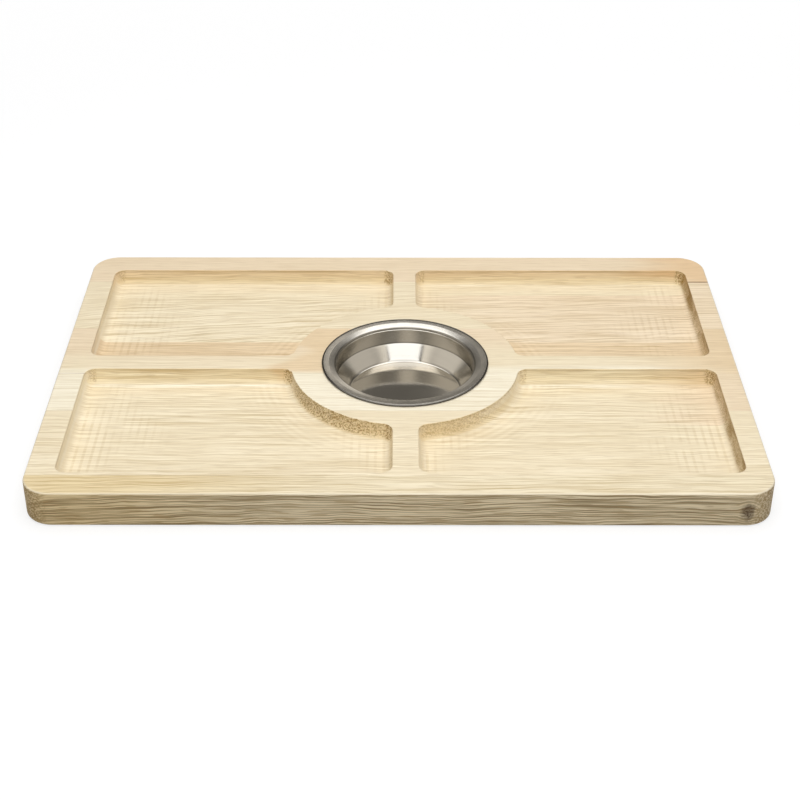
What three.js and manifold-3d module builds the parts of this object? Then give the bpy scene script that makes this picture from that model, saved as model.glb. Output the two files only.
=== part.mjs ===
// Wooden appetizer tray: a board glued up from staves, with four milled pockets round a raised ring,
// and a pressed steel dip cup that hangs by its flange in a well through the ring.
// Millimetres, +Z up. The origin is the middle of the board's underside, +X is right and -Y is the front.

import * as THREE from "three";
import { mergeVertices, toCreasedNormals } from "three/addons/utils/BufferGeometryUtils.js";
import Module from "manifold-3d";

// Board
const BOARD_WIDTH = 381;
const BOARD_DEPTH = 254;
const BOARD_THICKNESS = 20;
const BOARD_CORNER_RADIUS = 15.5;
const BOARD_ARRIS_RADIUS = 1.2;

// Well axis, measured from the middle of the board: the milling sits a little off centre
const WELL_OFFSET_X = 3.5;
const WELL_OFFSET_Y = -0.7;

// Dip cup, pressed from sheet
const CUP_SHEET = 0.5;
const CUP_INSIDE_RADIUS = 38.9;
const CUP_FLANGE_WIDTH = 8.1;
const CUP_CROWN_INSET = 1.2;
const CUP_CROWN_HEIGHT = 1.3;
const CUP_CREASE_RADIUS = 1.2;
const CUP_STEP_WIDTH = 0.8;
const CUP_STEP_RISE = 0.4;
const CUP_LOWER_WALL_HEIGHT = 8.35;
const CUP_LOWER_WALL_DRAW = 6;
const CUP_FLOOR_FILLET = 1;

// Clearances
const CUP_TABLE_CLEARANCE = 0.2;
const CUP_WELL_CLEARANCE = 0.8;

// Well, ring and ribs
const WELL_EASE = 2;
const RING_LAND = 17;
const CENTRE_RIB_WIDTH = 13.8;
const CROSS_RIB_WIDTH = 14.4;

// Pockets, milled with a bull-nosed cutter: its rounded nose leaves the cove round the floor
const POCKET_DEPTH = 9.5;
const CUTTER_NOSE_RADIUS = 5;
const CUTTER_FLAT_RADIUS = 1.35;
const RIM_LEFT = 14.8;
const RIM_RIGHT = 13;
const RIM_FRONT = 18.6;
const RIM_BACK = 18;

// Staves: the edge strips are measured from the board's edges, the other seams from the well
const FRONT_EDGE_STAVE_WIDTH = 16;
const BACK_EDGE_STAVE_WIDTH = 33;
const WELL_FRONT_LAND = 10;
const CENTRE_SEAM_FRONT = 12.3;
const CENTRE_SEAM_BACK = 37.7;

// Finishes
const WOOD_ROUGHNESS = 0.6;
const GOLDEN_WOOD = 0xe6cd9e;
const PALE_WOOD = 0xe9d5ae;
const CREAM_WOOD = 0xeedfbf;
const PEACH_WOOD = 0xe6c9a2;
const STEEL = 0xa9a7a2;
const STEEL_ROUGHNESS = 0.28;

// Facets
const CORNER_ARC_STEPS = 6;
const ROUND_STEPS = 72;
const COVE_STEPS = 4;
const ARRIS_STEPS = 2;
const CUP_CURVE_STEPS = 3;
const WELD_TOLERANCE = 1e-4;
const CREASE_ANGLE = THREE.MathUtils.degToRad(28);

// Cutters reach this far past the faces that they cut through
const CUT_MARGIN = 5;

// Worked-out sizes
const WELL_RADIUS = CUP_INSIDE_RADIUS + CUP_SHEET + CUP_WELL_CLEARANCE;
const FLANGE_RADIUS = CUP_INSIDE_RADIUS + CUP_FLANGE_WIDTH;
const RING_RADIUS = FLANGE_RADIUS + RING_LAND;
const CUTTER_RADIUS = CUTTER_FLAT_RADIUS + CUTTER_NOSE_RADIUS;
const BOARD_LEFT = -BOARD_WIDTH / 2;
const BOARD_RIGHT = BOARD_WIDTH / 2;
const BOARD_FRONT = -BOARD_DEPTH / 2;
const BOARD_BACK = BOARD_DEPTH / 2;
const POCKET_FLOOR = BOARD_THICKNESS - POCKET_DEPTH;

const wasm = await Module();
wasm.setup();

// Keep positions only, join shared vertices and drop triangles that have no area.
function weld(geometry) {
  geometry.deleteAttribute("normal");
  geometry.deleteAttribute("uv");
  const welded = mergeVertices(geometry, WELD_TOLERANCE);
  const index = welded.getIndex().array;
  const kept = [];
  for (let i = 0; i < index.length; i += 3) {
    const [a, b, c] = [index[i], index[i + 1], index[i + 2]];
    if (a !== b && b !== c && c !== a) {
      kept.push(a, b, c);
    }
  }
  welded.setIndex(kept);
  return welded;
}

function toSolid(geometry) {
  const welded = weld(geometry);
  const vertProperties = new Float32Array(welded.getAttribute("position").array);
  const triVerts = new Uint32Array(welded.getIndex().array);
  return new wasm.Manifold(new wasm.Mesh({ numProp: 3, vertProperties, triVerts }));
}

function toGeometry(solid) {
  const mesh = solid.getMesh();
  const geometry = new THREE.BufferGeometry();
  geometry.setAttribute("position", new THREE.BufferAttribute(new Float32Array(mesh.vertProperties), 3));
  geometry.setIndex(new THREE.BufferAttribute(new Uint32Array(mesh.triVerts), 1));
  return toCreasedNormals(geometry, CREASE_ANGLE);
}

// Turn a profile of (radius, height) points about Z.
function turned(profile) {
  const geometry = new THREE.LatheGeometry(profile, ROUND_STEPS);
  geometry.rotateX(Math.PI / 2);
  return geometry;
}

// The blank: a rounded rectangle with its top and bottom edges eased.
function boardBlank() {
  const r = BOARD_CORNER_RADIUS;
  const outline = new THREE.Shape();
  outline.moveTo(BOARD_LEFT + r, BOARD_FRONT);
  outline.absarc(BOARD_RIGHT - r, BOARD_FRONT + r, r, -Math.PI / 2, 0);
  outline.absarc(BOARD_RIGHT - r, BOARD_BACK - r, r, 0, Math.PI / 2);
  outline.absarc(BOARD_LEFT + r, BOARD_BACK - r, r, Math.PI / 2, Math.PI);
  outline.absarc(BOARD_LEFT + r, BOARD_FRONT + r, r, Math.PI, 1.5 * Math.PI);
  const geometry = new THREE.ExtrudeGeometry(outline, {
    depth: BOARD_THICKNESS - 2 * BOARD_ARRIS_RADIUS,
    curveSegments: CORNER_ARC_STEPS,
    bevelThickness: BOARD_ARRIS_RADIUS,
    bevelSize: BOARD_ARRIS_RADIUS,
    bevelOffset: -BOARD_ARRIS_RADIUS,
    bevelSegments: ARRIS_STEPS,
  });
  geometry.translate(0, 0, BOARD_ARRIS_RADIUS);
  return toSolid(geometry);
}

// One pocket's outline, seen from the well: u runs out along X and v along Y, each towards its rim.
// It is a rectangle with the ring's quarter taken out of one corner and every inside corner left
// at the cutter's radius.
function pocketOutline(sideX, sideY, reachX, reachY) {
  const r = CUTTER_RADIUS;
  const nearU = CENTRE_RIB_WIDTH / 2;
  const nearV = CROSS_RIB_WIDTH / 2;
  const ribFilletV = nearV + r;
  const ribFilletU = Math.sqrt((RING_RADIUS + r) ** 2 - ribFilletV ** 2);
  const centreFilletU = nearU + r;
  const centreFilletV = Math.sqrt((RING_RADIUS + r) ** 2 - centreFilletU ** 2);
  const ribAngle = Math.atan2(ribFilletV, ribFilletU);
  const centreAngle = Math.atan2(centreFilletV, centreFilletU);
  const quarter = Math.PI / 2;

  const outline = new THREE.Shape();
  outline.moveTo(ribFilletU, nearV);
  outline.absarc(reachX - r, nearV + r, r, -quarter, 0);
  outline.absarc(reachX - r, reachY - r, r, 0, quarter);
  outline.absarc(nearU + r, reachY - r, r, quarter, 2 * quarter);
  outline.absarc(centreFilletU, centreFilletV, r, 2 * quarter, 2 * quarter + centreAngle);
  outline.absarc(0, 0, RING_RADIUS, centreAngle, ribAngle, true);
  outline.absarc(ribFilletU, ribFilletV, r, 2 * quarter + ribAngle, 3 * quarter);
  const points = outline.getPoints(CORNER_ARC_STEPS);
  return new THREE.Shape(
    points.map((p) => new THREE.Vector2(WELL_OFFSET_X + sideX * p.x, WELL_OFFSET_Y + sideY * p.y)),
  );
}

// The cutter's sweep of one pocket: straight walls and a cove round the floor.
function pocketSolid(sideX, sideY) {
  const wallX = sideX < 0 ? BOARD_LEFT + RIM_LEFT : BOARD_RIGHT - RIM_RIGHT;
  const wallY = sideY < 0 ? BOARD_FRONT + RIM_FRONT : BOARD_BACK - RIM_BACK;
  const reachX = sideX * (wallX - WELL_OFFSET_X);
  const reachY = sideY * (wallY - WELL_OFFSET_Y);
  const geometry = new THREE.ExtrudeGeometry(pocketOutline(sideX, sideY, reachX, reachY), {
    depth: POCKET_DEPTH + CUT_MARGIN,
    bevelThickness: CUTTER_NOSE_RADIUS,
    bevelSize: CUTTER_NOSE_RADIUS,
    bevelOffset: -CUTTER_NOSE_RADIUS,
    bevelSegments: COVE_STEPS,
  });
  geometry.translate(0, 0, POCKET_FLOOR + CUTTER_NOSE_RADIUS);
  return toSolid(geometry);
}

// The well: a hole right through, with its top edge eased for the bend under the cup's flange.
function wellSolid() {
  const top = BOARD_THICKNESS + CUT_MARGIN;
  const geometry = turned([
    new THREE.Vector2(0, -CUT_MARGIN),
    new THREE.Vector2(WELL_RADIUS, -CUT_MARGIN),
    new THREE.Vector2(WELL_RADIUS, BOARD_THICKNESS - WELL_EASE),
    new THREE.Vector2(WELL_RADIUS + WELL_EASE, BOARD_THICKNESS),
    new THREE.Vector2(WELL_RADIUS + WELL_EASE, top),
    new THREE.Vector2(0, top),
  ]);
  geometry.translate(WELL_OFFSET_X, WELL_OFFSET_Y, 0);
  return toSolid(geometry);
}

function milledBoard() {
  let board = boardBlank().subtract(wellSolid());
  for (const sideX of [-1, 1]) {
    for (const sideY of [-1, 1]) {
      board = board.subtract(pocketSolid(sideX, sideY));
    }
  }
  return board;
}

// The part of the milled board between two X limits and two Y limits.
function stave(board, left, right, front, back) {
  const height = BOARD_THICKNESS + 2 * CUT_MARGIN;
  const slab = new THREE.BoxGeometry(right - left, back - front, height);
  slab.translate((left + right) / 2, (front + back) / 2, BOARD_THICKNESS / 2);
  return toGeometry(board.intersect(toSolid(slab)));
}

// The cup's inner and top surface, from the middle of its floor out to the flange's edge.
function cupSurface() {
  const floorZ = CUP_TABLE_CLEARANCE + CUP_SHEET;
  const stepR = CUP_INSIDE_RADIUS - CUP_STEP_WIDTH;
  const stepZ = floorZ + CUP_LOWER_WALL_HEIGHT;
  const floorR = stepR - CUP_LOWER_WALL_DRAW;
  const wall = new THREE.Vector2(CUP_LOWER_WALL_DRAW, CUP_LOWER_WALL_HEIGHT).setLength(CUP_FLOOR_FILLET);
  const crownR = FLANGE_RADIUS - CUP_CROWN_INSET;
  const crownZ = BOARD_THICKNESS + CUP_CROWN_HEIGHT;
  const creaseR = CUP_INSIDE_RADIUS + CUP_CREASE_RADIUS;
  const creaseZ = BOARD_THICKNESS + CUP_CREASE_RADIUS * (CUP_CROWN_HEIGHT / CUP_FLANGE_WIDTH);

  const surface = new THREE.Path();
  surface.moveTo(0, floorZ);
  surface.lineTo(floorR - CUP_FLOOR_FILLET, floorZ);
  surface.quadraticCurveTo(floorR, floorZ, floorR + wall.x, floorZ + wall.y);
  surface.lineTo(stepR, stepZ);
  surface.lineTo(CUP_INSIDE_RADIUS, stepZ + CUP_STEP_RISE);
  surface.lineTo(CUP_INSIDE_RADIUS, BOARD_THICKNESS - CUP_CREASE_RADIUS);
  surface.quadraticCurveTo(CUP_INSIDE_RADIUS, BOARD_THICKNESS, creaseR, creaseZ);
  surface.quadraticCurveTo((creaseR + crownR) / 2, crownZ, crownR, crownZ);
  surface.quadraticCurveTo(FLANGE_RADIUS, crownZ, FLANGE_RADIUS, BOARD_THICKNESS);
  return surface.getPoints(CUP_CURVE_STEPS);
}

// The same line moved down and out by the sheet's thickness, mitred at each bend. It starts on the
// axis, and the sheet's cut edge stands flat on the board.
function underside(surface) {
  const below = [new THREE.Vector2(0, surface[0].y - CUP_SHEET)];
  for (let i = 1; i < surface.length - 1; i += 1) {
    const into = surface[i].clone().sub(surface[i - 1]).normalize();
    const outOf = surface[i + 1].clone().sub(surface[i]).normalize();
    const along = into.clone().add(outOf).normalize();
    const mitre = CUP_SHEET / along.dot(outOf);
    below.push(new THREE.Vector2(surface[i].x + along.y * mitre, surface[i].y - along.x * mitre));
  }
  below.push(new THREE.Vector2(FLANGE_RADIUS - CUP_SHEET, BOARD_THICKNESS));
  return below;
}

function dipCup() {
  const surface = cupSurface();
  const below = underside(surface);
  const geometry = turned([...below, ...surface.reverse()]);
  geometry.translate(WELL_OFFSET_X, WELL_OFFSET_Y, 0);
  return toGeometry(toSolid(geometry));
}

function piece(name, geometry, color, roughness, metalness) {
  const mesh = new THREE.Mesh(geometry, new THREE.MeshStandardMaterial({ color, roughness, metalness }));
  mesh.name = name;
  return mesh;
}

// The staves, front to back, each cut from the one milled board along its glue lines.
function staves() {
  const board = milledBoard();
  const frontEdge = BOARD_FRONT - CUT_MARGIN;
  const frontSeam = BOARD_FRONT + FRONT_EDGE_STAVE_WIDTH;
  const landSeam = WELL_OFFSET_Y - WELL_RADIUS - WELL_FRONT_LAND;
  const centreSeam = WELL_OFFSET_Y - CENTRE_SEAM_FRONT;
  const backSeam = WELL_OFFSET_Y + CENTRE_SEAM_BACK;
  const rearSeam = BOARD_BACK - BACK_EDGE_STAVE_WIDTH;
  const backEdge = BOARD_BACK + CUT_MARGIN;
  const left = BOARD_LEFT - CUT_MARGIN;
  const right = BOARD_RIGHT + CUT_MARGIN;
  const middle = WELL_OFFSET_X;
  const rows = [
    ["front_edge_stave", left, right, frontEdge, frontSeam, GOLDEN_WOOD],
    ["front_stave", left, right, frontSeam, landSeam, PALE_WOOD],
    ["cup_front_stave", left, right, landSeam, centreSeam, CREAM_WOOD],
    ["centre_stave_left", left, middle, centreSeam, backSeam, PEACH_WOOD],
    ["centre_stave_right", middle, right, centreSeam, backSeam, PEACH_WOOD],
    ["back_stave", left, right, backSeam, rearSeam, PALE_WOOD],
    ["back_edge_stave", left, right, rearSeam, backEdge, PEACH_WOOD],
  ];
  return rows.map(([name, x0, x1, y0, y1, color]) =>
    piece(name, stave(board, x0, x1, y0, y1), color, WOOD_ROUGHNESS, 0),
  );
}

const tray = new THREE.Group();
tray.add(...staves());
tray.add(piece("dip_cup", dipCup(), STEEL, STEEL_ROUGHNESS, 1));

export default tray;
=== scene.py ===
"""Wooden appetizer tray: a glued-up board with four milled pockets, and a steel dip cup in its well.

The file is laid out as an add-on and is run as a script. Sizes are metres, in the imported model's frame:
+X is right, -Y is the front, +Z is up, and the board's underside stands at zero.
"""

import math

import bmesh
import bpy
from bmesh.types import BMEdge, BMFace, BMVert
from bpy.props import FloatProperty, FloatVectorProperty, PointerProperty
from bpy.types import Operator, Panel, PropertyGroup
from mathutils import Matrix, Vector, noise


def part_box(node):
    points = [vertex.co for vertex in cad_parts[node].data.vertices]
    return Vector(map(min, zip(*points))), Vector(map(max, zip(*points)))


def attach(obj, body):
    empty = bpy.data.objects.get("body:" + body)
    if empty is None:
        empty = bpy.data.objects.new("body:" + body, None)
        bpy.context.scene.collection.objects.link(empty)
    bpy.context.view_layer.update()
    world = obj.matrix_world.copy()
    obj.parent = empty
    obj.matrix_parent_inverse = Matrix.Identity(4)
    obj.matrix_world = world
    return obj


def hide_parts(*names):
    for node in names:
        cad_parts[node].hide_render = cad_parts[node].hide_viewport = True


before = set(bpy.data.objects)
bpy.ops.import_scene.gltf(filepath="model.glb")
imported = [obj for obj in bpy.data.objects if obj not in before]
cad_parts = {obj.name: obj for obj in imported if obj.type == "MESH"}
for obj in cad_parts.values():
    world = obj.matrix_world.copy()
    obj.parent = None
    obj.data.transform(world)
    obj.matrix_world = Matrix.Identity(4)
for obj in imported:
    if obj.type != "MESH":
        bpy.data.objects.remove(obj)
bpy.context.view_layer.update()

bl_info = {
    "name": "Appetizer Tray",
    "version": (1, 0, 0),
    "blender": (4, 5, 0),
    "location": "View3D > Sidebar > Tray",
    "description": "Builds a wooden appetizer tray with a steel dip cup, and its studio",
    "category": "Object",
}

MM = 0.001

# Staves from front to back: the node's material slot and the way that its timber was sawn.
# Pith is the middle of the log, measured across the stave and below its top, and lean tilts it.
# Figure is the strength of the grain. Drifts are further shades, each with the axis along which
# it comes in, and where it starts and is complete.
STAVES = {
    "front_edge_stave": {
        "slot": "golden_wood", "pith": (-0.150, 0.140), "lean": 0.4, "along": 0.31, "figure": 1.0,
        "drifts": [("amber_wood", "X", -0.04, -0.17)], "knot": (0.1755, -0.127, 0.0088),
    },
    "front_stave": {
        "slot": "pale_wood", "pith": (-0.170, 0.160), "lean": -1.5, "along": 1.27, "figure": 0.58,
        "drifts": [],
    },
    "cup_front_stave": {
        "slot": "cream_wood", "pith": (-0.210, 0.170), "lean": 0.3, "along": 2.43, "figure": 1.15,
        "drifts": [("pale_wood", "Z", 0.017, 0.010), ("sand_wood", "X", 0.130, 0.185)],
    },
    "centre_stave_left": {
        "slot": "peach_wood", "pith": (-0.190, 0.150), "lean": -0.4, "along": 3.61, "figure": 0.85,
        "drifts": [
            ("sand_wood", "Z", 0.012, 0.018), ("pale_wood", "Y", 0.010, -0.004),
            ("peach_wood", "X", -0.068, -0.056), ("cream_wood", "Y", -0.004, -0.012),
        ],
    },
    "centre_stave_right": {
        "slot": "peach_wood", "pith": (-0.180, 0.160), "lean": 0.5, "along": 4.83, "figure": 0.85,
        "drifts": [
            ("sand_wood", "Z", 0.012, 0.018), ("pale_wood", "Y", 0.030, 0.002),
            ("cream_wood", "Y", -0.004, -0.012), ("peach_wood", "X", 0.100, 0.200),
        ],
    },
    "back_stave": {
        "slot": "pale_wood", "pith": (-0.140, 0.170), "lean": 7.0, "along": 5.19, "figure": 1.1,
        "drifts": [
            ("sand_wood", "X", -0.02, 0.08), ("pale_wood", "Z", 0.012, 0.018),
            ("sand_wood", "X", 0.165, 0.182),
        ],
    },
    "back_edge_stave": {
        "slot": "peach_wood", "pith": (-0.160, 0.130), "lean": 0.6, "along": 6.37, "figure": 0.55,
        "shade": "sand_wood",
        "drifts": [("warm_wood", "X", 0.135, 0.175), ("pale_wood", "Z", 0.018, 0.012)],
    },
}

# The board and the cup as the frame places them
STAVE_BOXES = {node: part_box(node) for node in STAVES}
BOARD_LOW = Vector(min(low[i] for low, high in STAVE_BOXES.values()) for i in range(3))
BOARD_HIGH = Vector(max(high[i] for low, high in STAVE_BOXES.values()) for i in range(3))
CUP_LOW, CUP_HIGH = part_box("dip_cup")
WELL_X = (CUP_LOW.x + CUP_HIGH.x) / 2
WELL_Y = (CUP_LOW.y + CUP_HIGH.y) / 2
FLANGE_RADIUS = (CUP_HIGH.x - CUP_LOW.x) / 2
QUARTER = math.pi / 2

# Facets
CORNER_STEPS = 24
RING_STEPS = 150
ARRIS_STEPS = 6
EASE_STEPS = 4
WALL_ROWS = 7
COVE_STEPS = 12
ROUND_STEPS = 160
BEND_STEP = math.radians(5)
STRAIGHT_STEP = 1.2 * MM
SHARP_ANGLE = math.radians(40)
WELD_REACH = 0.001 * MM
CUT_REACH = 0.0001 * MM

# Where the cup's floor starts to fall from its middle
FLOOR_FLAT = 3 * MM

# The board's outer edges, which have their own colour and are never torn
EDGE_BAND = 6 * MM
TORN_MARGIN = 5 * MM
TORN_SCALE = 1400

# How far a stave's shades wander from a straight line, by axis
DRIFT_WANDER = {"X": 0.06, "Y": 0.02, "Z": 0.0}

# The stage: a wide floor just under the tray, and the shell that the steel mirrors
FLOOR_SIZE = 12.0
FLOOR_DROP = 0.4 * MM
SHELL_RADIUS = 6.0

# The fill lamp in front of the tray
FRONT_FILL_SIZE = Vector((1.2, 0.8))
FRONT_FILL_PLACE = Vector((0.0, -1.4, 0.75))


# Properties

def length(name, millimetres, description):
    """A size in metres, written in millimetres."""
    return FloatProperty(
        name=name, description=description, default=millimetres * MM, min=0.0, unit="LENGTH", precision=4
    )


def angle(name, degrees, description):
    """An angle, written in degrees."""
    return FloatProperty(name=name, description=description, default=math.radians(degrees), unit="ROTATION")


def power(name, watts, description):
    """A lamp's power."""
    return FloatProperty(name=name, description=description, default=watts, min=0.0, unit="POWER")


def axes(name, metres, description):
    """A place, or a size along each axis."""
    return FloatVectorProperty(
        name=name, description=description, default=metres, subtype="TRANSLATION", unit="LENGTH"
    )


def linear(level):
    """One display level from 0 to 255 as scene-linear light."""
    share = level / 255
    if share <= 0.04045:
        return share / 12.92
    return ((share + 0.055) / 1.055) ** 2.4


def colour(name, levels, description):
    """A colour written in display levels."""
    return FloatVectorProperty(
        name=name,
        description=description,
        default=tuple(linear(level) for level in levels),
        min=0.0,
        max=1.0,
        subtype="COLOR",
    )


def amount(name, default, description, high=1.0):
    """A plain number."""
    return FloatProperty(name=name, description=description, default=default, min=0.0, max=high)


class TrayBoardSizes(PropertyGroup):
    """Sizes of the milled board."""

    corner_radius: length("Corner radius", 15.5, "Radius of the board's corners in plan")
    arris_radius: length("Arris radius", 1.2, "Rounding of the board's top and bottom edges")
    rim_left: length("Left rim", 14.8, "Land between the left pockets and the board's edge")
    rim_right: length("Right rim", 13, "Land between the right pockets and the board's edge")
    rim_front: length("Front rim", 18.6, "Land between the front pockets and the board's edge")
    rim_back: length("Back rim", 18, "Land between the back pockets and the board's edge")
    centre_rib: length("Centre rib", 13.8, "Width of the rib between left and right pockets")
    cross_rib: length("Cross rib", 14.4, "Width of the ribs between front and back pockets")
    ring_land: length("Ring land", 17, "Width of wood left round the cup's flange")
    pocket_depth: length("Pocket depth", 9.5, "Depth of the pockets below the board's top")
    cutter_radius: length("Cutter radius", 6.35, "Radius left in the pockets' inside corners")
    cove_radius: length("Cove radius", 5, "Rounding between a pocket's wall and its floor")
    mouth_ease: length("Mouth ease", 0.5, "Rounding of the pockets' top edge")
    well_radius: length("Well radius", 40.2, "Radius of the hole that the cup hangs in")
    well_ease: length("Well ease", 2, "Bevel on the well's top edge, under the flange")
    torn_depth: length("Torn grain", 0.38, "How far torn fibres stand off the ring's wall")
    cutter_step: length("Cutter step", 4.3, "Distance between the cutter's passes over a pocket's floor")
    knot_size: axes("Knot size", (4.6 * MM, 7 * MM, 6.8 * MM), "Half the knot's length along each axis")


class TrayCupSizes(PropertyGroup):
    """Sizes of the pressed cup."""

    sheet: length("Sheet", 0.5, "Thickness of the steel")
    inside_radius: length("Inside radius", 38.9, "Radius inside the upper wall")
    crown_height: length("Crown height", 1.3, "Height of the flange's crown above the board")
    edge_bend: length("Edge bend", 0.45, "Radius of the bend at the flange's outer edge")
    edge_tuck: length("Edge tuck", 0.5, "How far the flange's edge curls in under its widest line")
    shed_width: length("Shed width", 1.0, "Width of the flange's outer part, which slopes outwards")
    shed_fall: length("Shed fall", 0.25, "How far the outer part falls")
    flat_width: length("Flat width", 3.0, "Width of the flange's level part")
    flat_fall: length("Flat fall", 0.4, "How far the level part falls towards the mouth")
    flange_slope: angle("Flange slope", 15, "Slope of the flange's inner part")
    flange_bend: length("Flange bend", 3, "Radius of the bend between the flange's parts")
    mouth_bend: length("Mouth bend", 1, "Radius of the bend from the flange to the mouth")
    ledge_width: length("Ledge width", 0.3, "Width of the small ledge below the mouth")
    ledge_rise: length("Ledge rise", 0.2, "Height that the ledge gains outwards")
    ledge_drop: length("Ledge drop", 1.3, "Depth of the ledge below the mouth")
    step_width: length("Step width", 0.4, "Width of the shoulder between the two walls")
    step_rise: length("Step rise", 0.5, "Height of the shoulder between the two walls")
    step_bend: length("Step bend", 0.2, "Radius of the small bends at the shoulder and the ledge")
    lower_wall_height: length("Lower wall height", 8.35, "Height of the sloping lower wall")
    lower_wall_draw: length("Lower wall draw", 6.4, "How far the lower wall leans in")
    floor_fillet: length("Floor fillet", 1.5, "Radius between the lower wall and the floor")
    floor_rise: length("Floor rise", 0.8, "How far the floor's middle stands above its edge")
    floor_crown: length("Floor crown", 110, "Radius that rounds the floor's middle")


class TrayFinishes(PropertyGroup):
    """Colours of the timber and the steel."""

    golden_wood: colour("Golden wood", (234, 219, 187), "Front edge stave")
    pale_wood: colour("Pale wood", (240, 225, 194), "Wide staves under the pockets")
    cream_wood: colour("Cream wood", (247, 237, 213), "Stave in front of the cup")
    peach_wood: colour("Peach wood", (233, 209, 172), "Staves beside the cup")
    sand_wood: colour("Sand wood", (238, 218, 187), "Back edge stave")
    amber_wood: colour("Amber wood", (229, 208, 164), "Left end of the front edge stave")
    warm_wood: colour("Warm wood", (234, 203, 162), "Heartwood at the right end of the back edge stave")
    side_grain: colour("Side grain", (249, 246, 237), "Tint of the pockets' walls along the grain")
    end_grain: colour("End grain", (254, 253, 252), "Tint of the pockets' walls across the grain")
    # Painted shade for the back walls' coves, not a colour of the timber
    cove_shade: colour("Cove grain", (250, 245, 233), "Tint of the back walls' burnished foot")
    glue: colour("Glue line", (140, 100, 62), "Line where two staves meet")
    # Also the colour of the painted shade on walls that face left
    torn_wood: colour("Torn wood", (146, 112, 48), "Hollows between torn fibres")
    knot: colour("Knot", (78, 58, 38), "Heart of the knot in the front edge")
    steel: colour("Steel", (212, 208, 200), "Mirror colour of the cup's steel")


class TrayStudio(PropertyGroup):
    """Camera, lamps and floor."""

    camera_place: axes("Camera", (-0.00106, -0.77408, 0.49116), "Where the camera stands")
    camera_yaw: angle("Yaw", 0.132, "Turn to the right of straight ahead")
    camera_pitch: angle("Pitch", 32.705, "Tilt below level")
    camera_roll: angle("Roll", 0.1245, "Turn about the line of sight")
    camera_focus: FloatProperty(
        name="Focal length", description="Focal length in picture widths", default=2.00354, min=0.1
    )
    softbox_place: axes("Softbox", (0.027, -0.16, 1.0), "Middle of the overhead lamp")
    softbox_width: length("Softbox width", 1150, "Width of the overhead lamp, left to right")
    softbox_depth: length("Softbox depth", 1920, "Length of the overhead lamp, front to back")
    softbox_power: power("Softbox power", 11.6, "Power of the overhead lamp")
    front_power: power("Front power", 5.6, "Power of the fill lamp in front")
    fill_level: amount("Fill", 0.27, "Brightness of the room for matt surfaces", 4.0)
    floor_colour: colour("Floor", (140, 140, 140), "Colour of the floor for matt surfaces")


# Materials

class Socket:
    """A shader output that takes part in Python arithmetic, each step adding its own node."""

    def __init__(self, graph, output):
        self.graph = graph
        self.output = output

    def named(self, name):
        """Another output of the same node."""
        return Socket(self.graph, self.output.node.outputs[name])

    def __add__(self, other):
        return self.graph.math("ADD", self, other)

    def __radd__(self, other):
        return self.graph.math("ADD", other, self)

    def __sub__(self, other):
        return self.graph.math("SUBTRACT", self, other)

    def __rsub__(self, other):
        return self.graph.math("SUBTRACT", other, self)

    def __mul__(self, other):
        return self.graph.math("MULTIPLY", self, other)

    def __rmul__(self, other):
        return self.graph.math("MULTIPLY", other, self)

    def __truediv__(self, other):
        return self.graph.math("DIVIDE", self, other)

    def __abs__(self):
        return self.graph.math("ABSOLUTE", self)


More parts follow.
